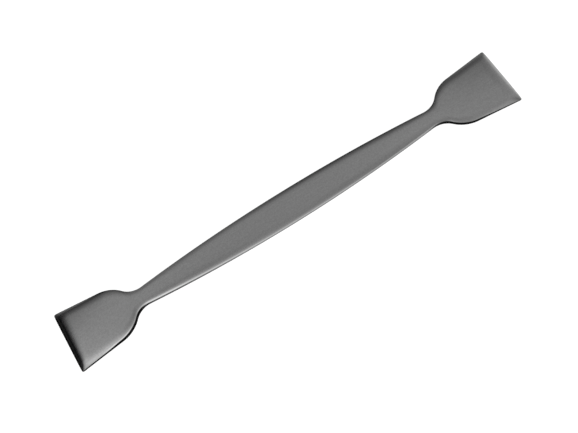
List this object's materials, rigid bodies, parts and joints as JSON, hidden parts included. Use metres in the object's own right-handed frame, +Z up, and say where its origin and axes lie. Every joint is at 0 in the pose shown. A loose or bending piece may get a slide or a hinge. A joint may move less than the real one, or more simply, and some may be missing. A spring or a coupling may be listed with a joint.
{
  "type": "lab spatula",
  "caption": "Flat one-piece steel lab spatula: a spindle-shaped handle, two narrow necks and a flared flat blade at each end, with its edges rolled soft and its blades ground thinner towards their tips.",
  "frame": {"origin": "middle of the tool's length and width, on its flat underside", "axes": "+X along the length, towards one blade's tip; +Y across the width; +Z up, out of the face whose edges are rolled more"},
  "size_m": [0.15, 0.02, 0.0018],
  "materials": {
    "steel": "satin stainless steel, finely brushed along the length and tumbled soft at the edges"
  },
  "bodies": {
    "root": {"spatula": "steel"}
  },
  "joints": []
}
